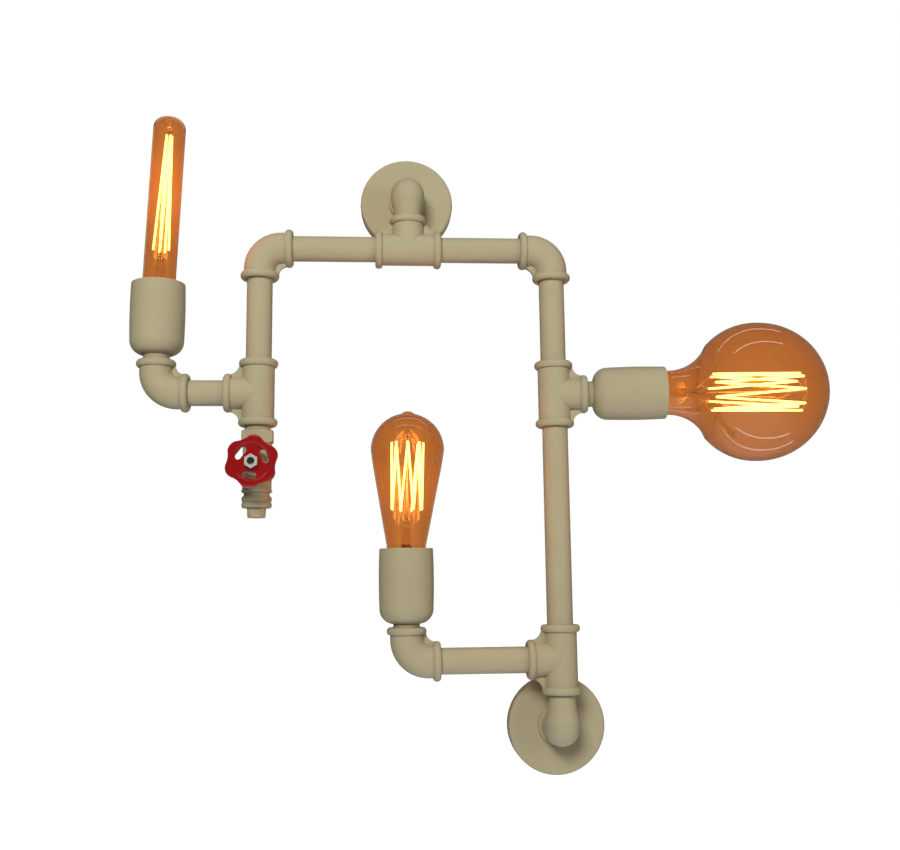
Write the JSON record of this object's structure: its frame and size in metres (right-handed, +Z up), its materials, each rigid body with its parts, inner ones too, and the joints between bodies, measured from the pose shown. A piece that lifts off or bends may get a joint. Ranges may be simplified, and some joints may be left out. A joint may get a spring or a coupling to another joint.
{
  "type": "pipe wall light",
  "caption": "Wall light of painted half-inch pipe and banded fittings on round wall plates, with cup lampholders, amber filament bulbs and a gate valve with a lobed handwheel.",
  "frame": {"origin": "centre of the upper wall plate, on the wall plane", "axes": "+Z up, +X to the right as seen from the room, +Y into the wall"},
  "size_m": [0.5835, 0.1181, 0.5583],
  "materials": {
    "beige_paint": "matte, faintly textured",
    "zinc_plated_steel": "zinc plated",
    "white_ceramic": "glazed",
    "lead_sheath": "woven",
    "brass": "plain",
    "cap_brass": "plain",
    "cap_insulator": "glossy black",
    "block_plastic": "matte",
    "stem_brass": "dull",
    "red_paint": "gloss enamel",
    "bright_steel": "bright",
    "amber_glass": "clear amber",
    "clear_glass": "clear",
    "glowing_filament": "glowing"
  },
  "bodies": {
    "light_frame": {"upper_wall_plate": "beige_paint", "lower_wall_plate": "beige_paint", "upper_street_elbow": "beige_paint", "lower_street_elbow": "beige_paint", "top_tee": "beige_paint", "left_tee": "beige_paint", "right_tee": "beige_paint", "bottom_tee": "beige_paint", "top_left_elbow": "beige_paint", "top_right_elbow": "beige_paint", "left_lamp_elbow": "beige_paint", "centre_lamp_elbow": "beige_paint", "top_left_pipe": "beige_paint", "top_right_pipe": "beige_paint", "left_leg_pipe": "beige_paint", "left_arm_pipe": "beige_paint", "right_upper_pipe": "beige_paint", "right_lower_pipe": "beige_paint", "bottom_arm_pipe": "beige_paint", "close_nipples": "beige_paint", "left_lamp_cup": "beige_paint", "centre_lamp_cup": "beige_paint", "right_lamp_cup": "beige_paint", "valve_body": "beige_paint", "valve_bonnet": "beige_paint", "valve_gland_nut": "beige_paint", "valve_plug": "beige_paint", "upper_wall_bracket": "zinc_plated_steel", "lower_wall_bracket": "zinc_plated_steel", "locknuts": "zinc_plated_steel", "plate_grub_screws": "zinc_plated_steel", "left_holder_body": "white_ceramic", "left_lamp_lead": "lead_sheath", "centre_holder_body": "white_ceramic", "centre_lamp_lead": "lead_sheath", "right_holder_body": "white_ceramic", "right_lamp_lead": "lead_sheath", "holder_screw_shells": "brass", "holder_contacts": "brass", "terminal_block": "block_plastic"},
    "handwheel_and_stem": {"valve_stem": "stem_brass", "valve_handwheel": "red_paint", "handwheel_nut": "bright_steel"},
    "gate": {"valve_gate": "stem_brass"},
    "tube_bulb_advance": {"tube_bulb_base": "cap_insulator"},
    "tube_bulb": {"tube_bulb_cap": "cap_brass", "tube_bulb_glass": "amber_glass", "tube_bulb_stem": "clear_glass", "tube_bulb_filament": "glowing_filament"},
    "pear_bulb_advance": {"pear_bulb_base": "cap_insulator"},
    "pear_bulb": {"pear_bulb_cap": "cap_brass", "pear_bulb_glass": "amber_glass", "pear_bulb_stem": "clear_glass", "pear_bulb_filament": "glowing_filament"},
    "globe_bulb_advance": {"globe_bulb_base": "cap_insulator"},
    "globe_bulb": {"globe_bulb_cap": "cap_brass", "globe_bulb_glass": "amber_glass", "globe_bulb_stem": "clear_glass", "globe_bulb_filament": "glowing_filament"}
  },
  "joints": [
    {"name": "handwheel_turn", "type": "hinge", "parent": "light_frame", "child": "handwheel_and_stem", "pos_m": [-0.1255, -0.0815, -0.2386], "axis": [0, -1, 0], "range_deg": [0, 1440]},
    {"name": "gate_lift", "type": "slide", "parent": "light_frame", "child": "gate", "axis": [0, -1, 0], "range_m": [0, 0.0128]},
    {"name": "tube_bulb_out", "type": "slide", "parent": "light_frame", "child": "tube_bulb_advance", "axis": [0, 0, 1], "range_m": [0, 0.01996]},
    {"name": "tube_bulb_unscrew", "type": "hinge", "parent": "tube_bulb_advance", "child": "tube_bulb", "pos_m": [-0.2098, -0.0415, -0.1171], "axis": [0, 0, 1], "range_deg": [0, 1980]},
    {"name": "pear_bulb_out", "type": "slide", "parent": "light_frame", "child": "pear_bulb_advance", "axis": [0, 0, 1], "range_m": [0, 0.01996]},
    {"name": "pear_bulb_unscrew", "type": "hinge", "parent": "pear_bulb_advance", "child": "pear_bulb", "pos_m": [-0.003, -0.0415, -0.3382], "axis": [0, 0, 1], "range_deg": [0, 1980]},
    {"name": "globe_bulb_out", "type": "slide", "parent": "light_frame", "child": "globe_bulb_advance", "axis": [0.9942, -0.108, 0], "range_m": [0, 0.01996]},
    {"name": "globe_bulb_unscrew", "type": "hinge", "parent": "globe_bulb_advance", "child": "globe_bulb", "pos_m": [0.18345, -0.04803, -0.1777], "axis": [0.9942, -0.108, 0], "range_deg": [0, 1980]}
  ],
  "couplings": [
    {"joint": "gate_lift", "follows": "handwheel_turn", "m_per_rad": 0.0005093},
    {"joint": "tube_bulb_out", "follows": "tube_bulb_unscrew", "m_per_rad": 0.00057757},
    {"joint": "pear_bulb_out", "follows": "pear_bulb_unscrew", "m_per_rad": 0.00057757},
    {"joint": "globe_bulb_out", "follows": "globe_bulb_unscrew", "m_per_rad": 0.00057757}
  ]
}
